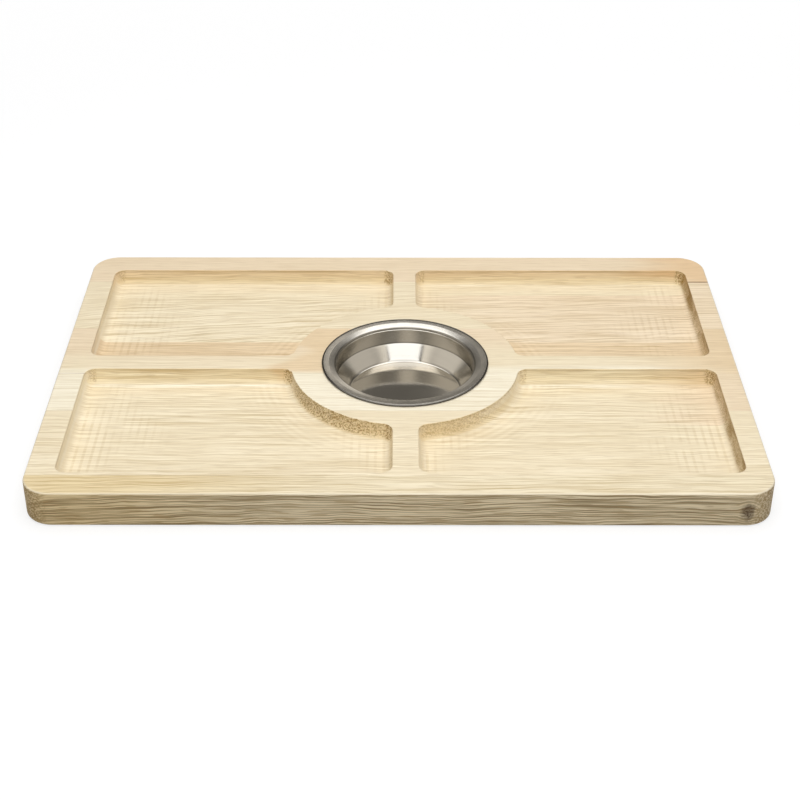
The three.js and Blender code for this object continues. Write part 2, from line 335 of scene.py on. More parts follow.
class Graph:
    """The node tree of one material or world."""

    def __init__(self, owner):
        owner.use_nodes = True
        self.tree = owner.node_tree
        self.tree.nodes.clear()

    def node(self, kind, settings=None, inputs=None, output=0):
        """Add a node: its settings first, then its sockets by name or place. Gives one output."""
        node = self.tree.nodes.new(kind)
        for name, value in (settings or {}).items():
            setattr(node, name, value)
        for key, value in (inputs or {}).items():
            socket = self.find(node.inputs, key)
            if isinstance(value, Socket):
                self.tree.links.new(value.output, socket)
            else:
                socket.default_value = value
        return Socket(self, self.find(node.outputs, output)) if output is not None else None

    @staticmethod
    def find(sockets, key):
        usable = [socket for socket in sockets if socket.enabled]
        if isinstance(key, int):
            return usable[key]
        return next(socket for socket in usable if socket.name == key)

    def math(self, operation, *values):
        return self.node("ShaderNodeMath", {"operation": operation}, dict(enumerate(values)))

    def vector(self, operation, *values):
        return self.node("ShaderNodeVectorMath", {"operation": operation}, dict(enumerate(values)))

    def mix(self, share, first, second, blend="MIX"):
        settings = {"data_type": "RGBA", "blend_type": blend}
        return self.node("ShaderNodeMix", settings, {"Factor": share, "A": first, "B": second})

    def ramp(self, value, low, high):
        """A smooth step from 0 at low to 1 at high."""
        settings = {"interpolation_type": "SMOOTHSTEP"}
        inputs = {"Value": value, "From Min": low, "From Max": high, "To Min": 0.0, "To Max": 1.0}
        return self.node("ShaderNodeMapRange", settings, inputs)

    def fall(self, value, low, high):
        """A smooth step from 1 at low to 0 at high."""
        return 1 - self.ramp(value, low, high)

    def times(self, first, second):
        """Two colours multiplied."""
        return self.mix(1.0, first, second, "MULTIPLY")

    def coordinates(self):
        """The place on the object's own axes."""
        return self.node("ShaderNodeTexCoord", None, None, "Object")

    def distance(self, across, beside):
        """How far a place lies from an axis, from its two offsets."""
        return self.vector("LENGTH", self.joined(across, beside, 0.0))

    def noise(self, place, scales, detail=2.0, rough=0.5):
        """Noise over a place, with a scale for each axis."""
        place = self.vector("MULTIPLY", place, scales)
        inputs = {"Vector": place, "Scale": 1.0, "Detail": detail, "Roughness": rough}
        return self.node("ShaderNodeTexNoise", {"noise_dimensions": "3D"}, inputs)

    def layers(self, along, through, detail=1.0, rough=0.5):
        """Noise in two directions: along the timber and through its growth layers."""
        place = self.joined(along, through, 0.0)
        inputs = {"Vector": place, "Scale": 1.0, "Detail": detail, "Roughness": rough}
        return self.node("ShaderNodeTexNoise", {"noise_dimensions": "2D"}, inputs)

    def parts(self, vector):
        x = self.node("ShaderNodeSeparateXYZ", None, {"Vector": vector})
        return x, x.named("Y"), x.named("Z")

    def joined(self, x, y, z):
        return self.node("ShaderNodeCombineXYZ", None, {"X": x, "Y": y, "Z": z})

    def surface(self, inputs):
        shader = self.node("ShaderNodeBsdfPrincipled", None, inputs)
        self.node("ShaderNodeOutputMaterial", None, {"Surface": shader}, None)


def opaque(shade, gain=1.0):
    """A colour property as four numbers, brightened or dimmed."""
    return (*(min(1.0, channel * gain) for channel in shade), 1.0)


def cutter_marks(graph, x, y, z, sizes):
    """Faint ridges that the cutter left on the pockets' floors, beside the end walls and the ring."""
    step = 2 * math.pi / sizes.cutter_step
    floor = BOARD_HIGH.z - sizes.pocket_depth
    on_floor = graph.fall(z, floor + 0.2 * MM, floor + 1.0 * MM)
    from_end = graph.math(
        "MINIMUM", x - (BOARD_LOW.x + sizes.rim_left), (BOARD_HIGH.x - sizes.rim_right) - x
    )
    from_end = graph.math("MINIMUM", from_end, abs(x - WELL_X) - sizes.centre_rib / 2 + 18 * MM)
    from_rim = graph.math(
        "MINIMUM", y - (BOARD_LOW.y + sizes.rim_front), (BOARD_HIGH.y - sizes.rim_back) - y
    )
    from_rib = abs(y - WELL_Y) - sizes.cross_rib / 2
    from_side = graph.math("MINIMUM", from_rim, from_rib)
    patches = graph.noise(graph.joined(x, y, 0.0), (45.0, 45.0, 0.0))
    patchy = graph.ramp(patches, 0.36, 0.6)
    near_end = graph.fall(from_end, 22 * MM, 62 * MM) * graph.ramp(from_side - from_end, -26 * MM, 2 * MM)
    across = graph.ramp(graph.math("SINE", from_end * step), 0.0, 0.9)
    along = graph.ramp(graph.math("SINE", y * step), 0.0, 0.9)
    lattice = (across * 1.4 + along - 0.9) * near_end * patchy
    from_well = graph.distance(x - WELL_X, y - WELL_Y)
    from_ring = from_well - (FLANGE_RADIUS + sizes.ring_land)
    arcs = graph.math("SINE", from_ring * step) * graph.fall(from_ring, 12 * MM, 34 * MM) * patchy
    return (lattice + 0.6 * arcs) * on_floor


def glue_line(graph, node, x, y):
    """1 on the lines where a stave meets its neighbours, fading in and out along them."""
    low, high = STAVE_BOXES[node]
    reach = 10.0
    if low.y > BOARD_LOW.y + MM:
        reach = y - low.y
    if high.y < BOARD_HIGH.y - MM:
        reach = graph.math("MINIMUM", reach, high.y - y)
    line = graph.fall(reach, 0.1 * MM, 0.45 * MM)
    faded = graph.ramp(graph.noise(graph.joined(x, low.y, 0.0), (14.0, 10.0, 0.0)), 0.38, 0.62)
    wide = graph.fall(reach, 0.5 * MM, 1.1 * MM) * graph.ramp(y, 0.08, 0.09) * graph.ramp(x, 0.145, 0.172)
    return graph.math("MAXIMUM", line * faded, wide)


def wood_material(node, plan, sizes, finishes):
    """Pale oiled timber: growth rings, fibres and pores along X, with the marks of the cutter, and painted
    light and shade on its walls, coves and arris.
    """
    material = bpy.data.materials.new(f"{node}_{plan['slot']}")
    graph = Graph(material)
    shade = getattr(finishes, plan.get("shade", plan["slot"]))
    low, high = STAVE_BOXES[node]
    coordinates = graph.coordinates()
    x, y, z = graph.parts(coordinates)
    facing_x, facing_y, facing_z = graph.parts(coordinates.named("Normal"))

    # Faces by how they stand: steep ones, end grain, and the board's own outer edges
    steep = graph.fall(abs(facing_z), 0.25, 0.9)
    end = graph.ramp(abs(facing_x), 0.12, 0.7) * steep
    beyond_x = abs(x) - (BOARD_HIGH.x - EDGE_BAND)
    beyond_y = abs(y) - (BOARD_HIGH.y - EDGE_BAND)
    outer = graph.ramp(graph.math("MAXIMUM", beyond_x, beyond_y), 0.0, 0.5 * MM)
    edge = outer * steep
    across = graph.ramp(abs(facing_x), 0.3, 0.85) * (1 - outer)

    # The log's own axes: its middle lies beside and below the stave, a little out of line with it
    pith_across, pith_below = plan["pith"]
    lean = math.radians(plan["lean"])
    log = graph.node(
        "ShaderNodeMapping",
        {"vector_type": "POINT"},
        {
            "Vector": coordinates,
            "Location": (plan["along"], -(low.y + high.y) / 2 - pith_across, pith_below - high.z),
            "Rotation": (0.0, lean, lean * 0.7),
        },
    )
    wander = graph.noise(log, (7.0, 22.0, 22.0)).named("Color")
    wander = graph.vector("SUBTRACT", wander, (0.5, 0.5, 0.5))
    sway = graph.vector("MULTIPLY", wander, (0.0, 0.005, 0.005))
    grain = graph.vector("ADD", log, sway)
    if "knot" in plan:
        offset = graph.vector("SUBTRACT", coordinates, plan["knot"])
        reach = graph.vector("LENGTH", graph.vector("DIVIDE", offset, sizes.knot_size))
        pushed = graph.vector("SCALE", offset, -0.4 * graph.fall(reach, 0.5, 1.4))
        grain = graph.vector("ADD", grain, graph.vector("MULTIPLY", pushed, (0.0, 1.0, 1.0)))
    grain_x, grain_y, grain_z = graph.parts(grain)
    radius = graph.distance(grain_y, grain_z)
    ripple = graph.layers(grain_x * 30.0, radius * 90.0, 2.0)
    radius = radius + (ripple - 0.5) * (2.2 * MM)

    # Tone, from broad bands down to single fibres
    bands = graph.layers(grain_x * 4.0, radius * 60.0)
    streaks = graph.layers(grain_x * 7.0, radius * 1300.0)
    fibres = graph.layers(grain_x * 18.0, radius * 2400.0)
    veins = graph.layers(grain_x * 5.0, radius * 600.0)
    lines = graph.fall(abs(veins - 0.5), 0.006, 0.04)
    dashes = graph.layers(grain_x * 65.0, radius * 1500.0)
    pores = graph.ramp(dashes, 0.55, 0.66)
    marks = cutter_marks(graph, x, y, z, sizes)
    threads = graph.ramp(streaks, 0.44, 0.56)
    figure = (bands - 0.5) * 0.25 + (threads - 0.5) * 0.44 + (fibres - 0.5) * 2.7 + (0.15 - lines) * 0.3
    sanded = graph.ramp(z, BOARD_HIGH.z - 0.4 * MM, BOARD_HIGH.z - 0.1 * MM) * graph.ramp(y, -0.075, -0.05)
    strength = plan["figure"] * (1 + 0.4 * edge - 0.75 * across - 0.6 * sanded - 0.6 * end * edge)
    # The cutter's ridges are painted into the tone as light and shade, besides their bump further down
    tone = 0.62 + figure * strength - marks * 0.22

    # The stave's own shade and those that it drifts to, then its dark and its light wood
    shade = opaque(shade)
    places = {"X": x, "Y": y, "Z": z}
    for second, axis, start, complete in plan["drifts"]:
        place = places[axis] + DRIFT_WANDER[axis] * (bands - 0.5)
        shade = graph.mix(graph.ramp(place, start, complete), shade, opaque(getattr(finishes, second)))
    tint = graph.mix(edge, (0.80, 0.74, 0.62, 1.0), (0.39, 0.335, 0.245, 1.0))
    dark = graph.times(shade, tint)
    tint = graph.mix(edge, (1.12, 1.15, 1.20, 1.0), (1.03, 1.0, 0.95, 1.0))
    light = graph.times(shade, tint)
    timber = graph.mix(tone, dark, light)
    deep = graph.times(shade, (0.50, 0.40, 0.26, 1.0))
    timber = graph.mix(pores * (0.2 + 0.3 * edge - 0.08 * sanded) * (1 - across), timber, deep)

    # The pockets' walls, painted shade on the coves of walls that face the front, and the glue lines
    soaked = graph.mix(end, opaque(finishes.side_grain), opaque(finishes.end_grain))
    walls = graph.times(timber, soaked)
    timber = graph.mix(graph.fall(abs(facing_z), 0.1, 0.7) * (1 - edge), timber, walls)
    # Painted shade on the coves at the foot of walls that face the front
    shadowed = graph.ramp(facing_z, 0.0, 0.4) * graph.fall(facing_z, 0.8, 0.9)
    shadowed = shadowed * graph.ramp(-1 * facing_y, 0.15, 0.5)
    shaded_cove_timber = graph.times(timber, opaque(finishes.cove_shade))
    timber = graph.mix(shadowed * (1 - outer), timber, shaded_cove_timber)
    open_front = 0.2 + 0.8 * graph.fall(x, -0.09, -0.05)
    open_back = 0.15 + 0.85 * graph.ramp(x, 0.1, 0.14)
    behind = graph.ramp(y, 0.0, 0.02)
    joint = glue_line(graph, node, x, y) * graph.ramp(z, BOARD_HIGH.z - 2 * MM, BOARD_HIGH.z - 0.5 * MM)
    joint = joint * (open_front + (open_back - open_front) * behind)
    timber = graph.mix(joint * 0.65, timber, opaque(finishes.glue))

    # End grain shows its pores as dots, and the top arris gets a painted highlight
    pored = graph.ramp(abs(facing_x), 0.0, 0.6) * edge
    pored = pored * (1 - 0.5 * graph.ramp(abs(facing_x), 0.85, 0.98))
    dots = graph.noise(log, (800.0, 950.0, 950.0), 1.0)
    timber = graph.mix(pored * 0.6 * graph.fall(dots, 0.4, 0.48), timber, light)
    timber = graph.mix(pored * (0.15 + 0.8 * graph.ramp(dots, 0.47, 0.55)), timber, deep)
    # Painted highlight along the board's top arris
    arris = outer * graph.ramp(facing_z, 0.25, 0.6) * graph.fall(facing_z, 0.9, 0.99)
    timber = graph.mix(arris * 0.5, timber, opaque(finishes.cream_wood))

    # Painted light on walls that face right, and a painted shade line under the pockets' top edges
    below = BOARD_HIGH.z - z
    # Painted light: walls that face right are mixed towards the paler cream wood
    painted_light = graph.ramp(facing_x, 0.75, 0.95) * graph.fall(-1 * facing_y, 0.2, 0.4) * (1 - outer)
    painted_light = painted_light * (1 - 0.7 * graph.ramp(y, 0.03, 0.08))
    timber = graph.mix(painted_light * 0.7, timber, opaque(finishes.cream_wood))
    # A painted shade line just under the pockets' top edges
    lip_shade = graph.ramp(below, 0.15 * MM, 0.5 * MM) * graph.fall(below, 0.7 * MM, 2.4 * MM)
    lip_shade = lip_shade * steep * (1 - outer)
    lip_shade = lip_shade * (0.15 + 0.2 * painted_light + 0.5 * graph.ramp(streaks, 0.4, 0.6) * (1 - painted_light))
    timber = graph.mix(lip_shade, timber, deep)

    # Torn fibres where the cutter came out against the grain, and painted shade on walls that face left
    torn = graph.ramp(-1 * facing_x, 0.02, 0.35) * (0.4 + 0.6 * graph.ramp(-1 * facing_y, 0.1, 0.5))
    torn = torn + 0.45 * graph.ramp(facing_x, 0.05, 0.2) * graph.ramp(-1 * facing_y, 0.45, 0.8)
    torn = torn * graph.fall(facing_y, 0.05, 0.3) * graph.fall(abs(facing_z), 0.6, 0.97) * (1 - outer)
    torn = torn * graph.fall(below, sizes.pocket_depth - 2 * MM, sizes.pocket_depth - 0.2 * MM)
    ragged = graph.noise(coordinates, (900.0, 1200.0, 1200.0), 3.0, 0.7)
    timber = graph.mix(torn * 0.6, timber, opaque(finishes.amber_wood))
    timber = graph.mix(torn * graph.ramp(ragged, 0.45, 0.57) * 0.8, timber, opaque(finishes.torn_wood))
    # Painted shade on walls that face left on the board's right side, broken up by torn-fibre streaks
    patches = graph.noise(coordinates, (0.0, 55.0, 170.0))
    left_wall_shade = 0.12 + 0.3 * graph.ramp(ragged, 0.4, 0.65) + 0.35 * graph.ramp(patches, 0.45, 0.6)
    left_wall_shade = left_wall_shade + 0.35 * graph.ramp(y, 0.05, 0.09) + 0.14 * graph.fall(y, -0.06, -0.03)
    left_wall_shade = left_wall_shade * graph.ramp(-1 * facing_x, 0.5, 0.95) * graph.ramp(x, 0.08, 0.12) * (1 - edge)
    timber = graph.mix(left_wall_shade, timber, opaque(finishes.torn_wood))

    height = fibres * 0.5 + streaks * 0.4 - pores * 0.6 + torn * ragged * 5.0 - marks * 0.5
    if "knot" in plan:
        swirl = reach + 0.7 * graph.noise(offset, (420.0, 420.0, 420.0), 3.0)
        heart = graph.fall(swirl, 0.75, 1.35) * (0.6 + 0.35 * graph.ramp(ragged, 0.4, 0.6))
        timber = graph.mix(heart, timber, opaque(finishes.knot))
    bump = graph.node("ShaderNodeBump", None, {"Strength": 0.4, "Distance": 0.2 * MM, "Height": height})
    graph.surface(
        {
            "Base Color": timber,
            "Roughness": 0.62 - 0.1 * tone + 0.1 * steep,
            "Specular IOR Level": 0.35,
            "Normal": bump,
        }
    )
    return material


def steel_material(sizes, finishes):
    """Pressed stainless steel: polished floor, satin walls, with faint turning lines, and painted shade
    along its creases and outer edge.
    """
    material = bpy.data.materials.new("satin_steel")
    graph = Graph(material)
    coordinates = graph.coordinates()
    place = graph.node(
        "ShaderNodeMapping",
        {"vector_type": "POINT"},
        {"Vector": coordinates, "Location": (-WELL_X, -WELL_Y, 0.0)},
    )
    x, y, z = graph.parts(place)
    radius = graph.distance(x, y)
    turned = graph.node(
        "ShaderNodeTexNoise",
        {"noise_dimensions": "4D"},
        {
            "Vector": graph.joined(radius * 1800.0, x / radius * 1.5, y / radius * 1.5),
            "W": z * 1800.0,
            "Scale": 1.0,
            "Detail": 3.0,
        },
    )
    on_floor = graph.fall(z, CUP_LOW.z + 0.8 * MM, CUP_LOW.z + 3 * MM)
    step = CUP_LOW.z + sizes.sheet + sizes.lower_wall_height
    on_flange = graph.ramp(radius, sizes.inside_radius + 1.2 * MM, sizes.inside_radius + 3 * MM)
    on_wall = graph.ramp(z, step, step + 1 * MM) * (1 - on_flange)
    # Painted shade along the flange's outer edge, wider at the back
    rim_shade_band = radius + 0.8 * MM * graph.ramp(y / radius, 0.1, 0.8)
    rim_shade_band = graph.ramp(rim_shade_band, FLANGE_RADIUS - 1.1 * MM, FLANGE_RADIUS - 0.7 * MM)
    edge_shade = graph.fall(z, BOARD_HIGH.z + 0.7 * MM, BOARD_HIGH.z + 1.1 * MM)
    edge_shade = rim_shade_band * (0.8 + 0.12 * edge_shade)
    foot = sizes.inside_radius - sizes.step_width - sizes.lower_wall_draw
    # Painted shade in the creases at the shoulder, at the floor's edge and at the mouth's bend
    crease_shade = graph.fall(abs(z - step - sizes.step_rise - 0.3 * MM), 0.1 * MM, 0.7 * MM) * 0.4
    crease_shade = crease_shade + graph.fall(abs(radius - foot - 0.3 * MM), 0.2 * MM, 0.8 * MM) * 0.3
    mouth = sizes.inside_radius + sizes.ledge_width
    crease_shade = crease_shade + graph.fall(abs(radius - mouth - 0.3 * MM), 0.15 * MM, 0.6 * MM) * 0.5
    mottle = graph.noise(place, (60.0, 60.0, 60.0), 3.0)
    # Darker blotches here and there on the flange
    flange_blotches = graph.noise(place, (130.0, 130.0, 130.0), 4.0, 0.6)
    flange_blotches = graph.ramp(flange_blotches, 0.38, 0.62) * on_flange
    bright = graph.mix(turned, opaque(finishes.steel, 0.94), opaque(finishes.steel, 1.06))
    bright = graph.mix(flange_blotches * 0.3, bright, opaque(finishes.steel, 0.6))
    bump = graph.node("ShaderNodeBump", None, {"Strength": 0.15, "Distance": 0.01 * MM, "Height": turned})
    shaded = graph.math("MAXIMUM", edge_shade, crease_shade)
    graph.surface(
        {
            "Base Color": graph.mix(shaded, bright, (0.05, 0.045, 0.04, 1.0)),
            "Metallic": 1.0,
            "Roughness": 0.12 + 0.04 * mottle - 0.05 * on_floor + 0.06 * on_wall + 0.10 * on_flange,
            "Normal": bump,
        }
    )
    return material


# Meshes

def picked(geom, kind):
    """The vertices, edges or faces among what a bmesh operator gives back."""
    return [item for item in geom if isinstance(item, kind)]


class Pen:
    """Draws a line of edges: straight runs by extruding a vertex, arcs by spinning it."""

    def __init__(self, bm, start, axis):
        self.bm = bm
        self.axis = axis
        self.first = bm.verts.new(start)
        self.tip = self.first
        self.known = set(bm.edges)

    def line(self, end):
        drawn = bmesh.ops.extrude_vert_indiv(self.bm, verts=[self.tip])
        self.tip = drawn["verts"][0]
        bmesh.ops.translate(self.bm, verts=[self.tip], vec=Vector(end) - self.tip.co)

    def arc(self, centre, angle, steps):
        drawn = bmesh.ops.spin(
            self.bm, geom=[self.tip], cent=centre, axis=self.axis, angle=angle, steps=steps, use_merge=False
        )
        self.tip = picked(drawn["geom_last"], BMVert)[0]

    def edges(self):
        return [edge for edge in self.bm.edges if edge not in self.known]

    def closed(self):
        """Join the line's end to its start. Gives its edges."""
        bmesh.ops.pointmerge(self.bm, verts=[self.first, self.tip], merge_co=self.first.co)
        return self.edges()


def looking(bm, edges, up):
    """Fill a flat loop of edges with one face that looks up, or down where up is negative."""
    face = bmesh.ops.edgeloop_fill(bm, edges=edges)["faces"][0]
    face.normal_update()
    if face.normal.z * up < 0:
        bmesh.ops.reverse_faces(bm, faces=[face])
    return face


def sink(bm, face, course):
    """Inset a face in turns along a course of (inset, rise) pairs, each measured from the start."""
    inset = 0.0
    rise = 0.0
    for next_inset, next_rise in course:
        bmesh.ops.inset_region(
            bm,
            faces=[face],
            use_boundary=True,
            use_even_offset=True,
            thickness=next_inset - inset,
            depth=next_rise - rise,
        )
        inset, rise = next_inset, next_rise


def turns(steps):
    """The angles that divide a quarter turn into steps, without its start."""
    return [QUARTER * (step + 1) / steps for step in range(steps)]


def fill(bm, edges, normal):
    """Fill flat loops of edges, holes left open, with faces that look along normal."""
    filled = bmesh.ops.triangle_fill(bm, edges=edges, use_beauty=True, use_dissolve=False, normal=normal)
    return picked(filled["geom"], BMFace)


def draw_blank(bm, sizes):
    """The board's outside: a rounded rectangle with eased edges. Gives its top and bottom edges."""
    corner = sizes.corner_radius
    arris = sizes.arris_radius
    shoulder = BOARD_HIGH.z - arris
    left, front, right, back = BOARD_LOW.x, BOARD_LOW.y, BOARD_HIGH.x, BOARD_HIGH.y
    pen = Pen(bm, (left + corner, front, shoulder), (0, 0, 1))
    for centre, end in (
        ((right - corner, front + corner), (right - corner, front)),
        ((right - corner, back - corner), (right, back - corner)),
        ((left + corner, back - corner), (left + corner, back)),
        ((left + corner, front + corner), (left, front + corner)),
    ):
        pen.line((*end, shoulder))
        pen.arc((*centre, shoulder), QUARTER, CORNER_STEPS)
    outline = pen.closed()
    walls = bmesh.ops.extrude_edge_only(bm, edges=outline)["geom"]
    lowered = picked(walls, BMVert)
    bmesh.ops.translate(bm, verts=lowered, vec=(0, 0, 2 * arris - BOARD_HIGH.z))
    foot = [edge for edge in picked(walls, BMEdge) if set(edge.verts) <= set(lowered)]
    rims = []
    for edges, up in ((outline, 1), (foot, -1)):
        face = looking(bm, edges, up)
        sink(bm, face, [(arris * (1 - math.cos(a)), arris * math.sin(a)) for a in turns(ARRIS_STEPS)])
        rims.append(list(face.edges))
        bmesh.ops.delete(bm, geom=[face], context="FACES_ONLY")
    return rims


def draw_mouth(bm, sizes, side_x, side_y):
    """Draw one pocket's mouth, seen from the well outwards. Gives its edges."""
    cutter = sizes.cutter_radius
    ring = FLANGE_RADIUS + sizes.ring_land
    wall_x = BOARD_LOW.x + sizes.rim_left if side_x < 0 else BOARD_HIGH.x - sizes.rim_right
    wall_y = BOARD_LOW.y + sizes.rim_front if side_y < 0 else BOARD_HIGH.y - sizes.rim_back
    far_u = side_x * (wall_x - WELL_X) - cutter
    far_v = side_y * (wall_y - WELL_Y) - cutter
    near_u = sizes.centre_rib / 2 + cutter
    near_v = sizes.cross_rib / 2 + cutter
    ring_u = math.sqrt((ring + cutter) ** 2 - near_v ** 2)
    ring_v = math.sqrt((ring + cutter) ** 2 - near_u ** 2)
    rib_angle = math.atan2(near_v, ring_u)
    centre_angle = math.atan2(ring_v, near_u)
    mouth = cutter + sizes.mouth_ease
    turn = side_x * side_y

    def place(u, v):
        return (WELL_X + side_x * u, WELL_Y + side_y * v, BOARD_HIGH.z)

    pen = Pen(bm, place(ring_u, near_v - mouth), (0, 0, 1))
    pen.line(place(far_u, near_v - mouth))
    pen.arc(place(far_u, near_v), turn * QUARTER, CORNER_STEPS)
    pen.line(place(far_u + mouth, far_v))
    pen.arc(place(far_u, far_v), turn * QUARTER, CORNER_STEPS)
    pen.line(place(near_u, far_v + mouth))
    pen.arc(place(near_u, far_v), turn * QUARTER, CORNER_STEPS)
    pen.line(place(near_u - mouth, ring_v))
    pen.arc(place(near_u, ring_v), turn * centre_angle, CORNER_STEPS)
    pen.arc(place(0, 0), turn * (rib_angle - centre_angle), RING_STEPS)
    pen.arc(place(ring_u, near_v), turn * (QUARTER - rib_angle), CORNER_STEPS)
    return pen.closed()


def sink_pocket(bm, sizes, mouth):
    """Sink a mouth to its floor: an eased edge, a straight wall and a cove."""
    ease = sizes.mouth_ease
    cove = sizes.cove_radius
    foot = sizes.pocket_depth - cove
    course = [(ease * math.sin(turn), -ease * (1 - math.cos(turn))) for turn in turns(EASE_STEPS)]
    course += [(ease, -ease - (foot - ease) * (row + 1) / WALL_ROWS) for row in range(WALL_ROWS)]
    for turn in turns(COVE_STEPS):
        course.append((ease + cove * (1 - math.cos(turn)), -foot - cove * math.sin(turn)))
    sink(bm, looking(bm, mouth, 1), course)


def draw_well(bm, sizes):
    """The through hole for the cup. Gives its top and bottom edges."""
    mouth = sizes.well_radius + sizes.well_ease
    at_top = Matrix.Translation((WELL_X, WELL_Y, BOARD_HIGH.z))
    ring = bmesh.ops.create_circle(
        bm, cap_ends=False, segments=ROUND_STEPS, radius=mouth, matrix=at_top
    )["verts"]
    top = list({edge for vert in ring for edge in vert.link_edges})
    edges = top
    shrink = sizes.well_radius / mouth
    middle = Matrix.Translation((-WELL_X, -WELL_Y, 0))
    for scale, drop in ((shrink, sizes.well_ease), (1.0, BOARD_HIGH.z - sizes.well_ease)):
        grown = bmesh.ops.extrude_edge_only(bm, edges=edges)["geom"]
        verts = picked(grown, BMVert)
        edges = [edge for edge in picked(grown, BMEdge) if edge.is_boundary]
        bmesh.ops.scale(bm, verts=verts, vec=(scale, scale, 1.0), space=middle)
        bmesh.ops.translate(bm, verts=verts, vec=(0, 0, -drop))
    return top, edges


def tear(bm, sizes):
    """Rough up the pocket walls where the cutter met the grain end on and tore it."""
    for vert in bm.verts:
        depth = BOARD_HIGH.z - vert.co.z
        out = Vector((vert.co.x - BOARD_LOW.x, BOARD_HIGH.x - vert.co.x))
        if depth > sizes.pocket_depth - 0.5 * MM or min(out) < TORN_MARGIN:
            continue
        if abs(vert.co.y) > BOARD_HIGH.y - TORN_MARGIN:
            continue
        wall = [face for face in vert.link_faces if abs(face.normal.z) < 0.95]
        if not wall:
            continue
        facing = sum((face.normal for face in wall), Vector()).normalized()
        against = min(1.0, max(0.0, -facing.x / 0.4)) * min(1.0, max(0.0, (-facing.y - 0.2) / 0.4))
        if against <= 0:
            continue
        rough = noise.fractal(vert.co * TORN_SCALE, 1.0, 2.0, 3)
        vert.co += Vector((facing.x, facing.y, 0)) * rough * against * sizes.torn_depth


def milled_board(sizes):
    """The whole board in one closed mesh, before it is divided along its glue lines."""
    bm = bmesh.new()
    top_rim, bottom_rim = draw_blank(bm, sizes)
    well_top, well_bottom = draw_well(bm, sizes)
    mouths = [draw_mouth(bm, sizes, side_x, side_y) for side_x in (-1, 1) for side_y in (-1, 1)]
    fill(bm, sum(mouths, top_rim + well_top), (0, 0, 1))
    fill(bm, bottom_rim + well_bottom, (0, 0, -1))
    for mouth in mouths:
        sink_pocket(bm, sizes, mouth)
    bmesh.ops.recalc_face_normals(bm, faces=bm.faces[:])
    tear(bm, sizes)
    return bm


def cut(bm, place, outwards):
    """Cut the board at a plane, drop what lies outwards and close the cut."""
    everything = bm.verts[:] + bm.edges[:] + bm.faces[:]
    sliced = bmesh.ops.bisect_plane(
        bm, geom=everything, dist=CUT_REACH, plane_co=place, plane_no=outwards, clear_outer=True
    )
    edges = picked(sliced["geom_cut"], BMEdge)
    if edges:
        fill(bm, edges, outwards)


def shade_smooth(bm):
    """Shade curved faces smooth and flat ones flat, with a hard line at every sharp edge."""
    for face in bm.faces:
        face.smooth = max(abs(part) for part in face.normal) < 0.9999
    for edge in bm.edges:
        edge.smooth = edge.calc_face_angle(math.pi) < SHARP_ANGLE


def add_object(name, bm, material):
    """Put a mesh in the scene as an object."""
    mesh = bpy.data.meshes.new(name)
    bm.to_mesh(mesh)
    bm.free()
    mesh.materials.append(material)
    added = bpy.data.objects.new(name, mesh)
    bpy.context.scene.collection.objects.link(added)
    return added


def finished(name, bm, material, body, node):
    """Make the mesh an object that replaces a node of the frame."""
    piece = add_object(name, bm, material)
    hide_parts(node)
    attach(piece, body)


class TRAY_OT_staves(Operator):
    """Mill the board and divide it into its staves"""

    bl_idname = "tray.staves"
    bl_label = "Board staves"

    def execute(self, context):
        sizes = context.scene.tray_board
        finishes = context.scene.tray_finishes
        board = milled_board(sizes)
        for node, plan in STAVES.items():
            low, high = STAVE_BOXES[node]
            bm = board.copy()
            if low.y > BOARD_LOW.y + MM:
                cut(bm, low, (0, -1, 0))
            if high.y < BOARD_HIGH.y - MM:
                cut(bm, high, (0, 1, 0))
            if high.x < BOARD_HIGH.x - MM:
                cut(bm, (WELL_X, 0, 0), (1, 0, 0))
            if low.x > BOARD_LOW.x + MM:
                cut(bm, (WELL_X, 0, 0), (-1, 0, 0))
            bmesh.ops.recalc_face_normals(bm, faces=bm.faces[:])
            shade_smooth(bm)
            material = wood_material(node, plan, sizes, finishes)
            finished(f"{node}_wood", bm, material, "board", node)
        board.free()
        return {"FINISHED"}


def rounded_line(bm, corners):
    """Draw a profile of (radius, height, bend) corners in the XZ plane, each corner bent to its radius."""
    def spot(corner):
        return Vector((WELL_X + corner[0], WELL_Y, corner[1]))

    def straight(end):
        start = pen.tip.co.copy()
        pieces = max(1, round((end - start).length / STRAIGHT_STEP))
        for piece in range(pieces):
            pen.line(start.lerp(end, (piece + 1) / pieces))

    pen = Pen(bm, spot(corners[0]), (0, -1, 0))
    for before, corner, after in zip(corners, corners[1:], corners[2:]):
        arriving = (spot(corner) - spot(before)).normalized()
        leaving = (spot(after) - spot(corner)).normalized()
        turn = math.atan2(arriving.x * leaving.z - arriving.z * leaving.x, arriving.dot(leaving))
        run = corner[2] * math.tan(abs(turn) / 2)
        straight(spot(corner) - arriving * run)
        inwards = Vector((-arriving.z, 0, arriving.x)) * math.copysign(corner[2], turn)
        pen.arc(pen.tip.co + inwards, turn, max(4, round(abs(turn) / BEND_STEP)))
    straight(spot(corners[-1]))
    return pen.edges()


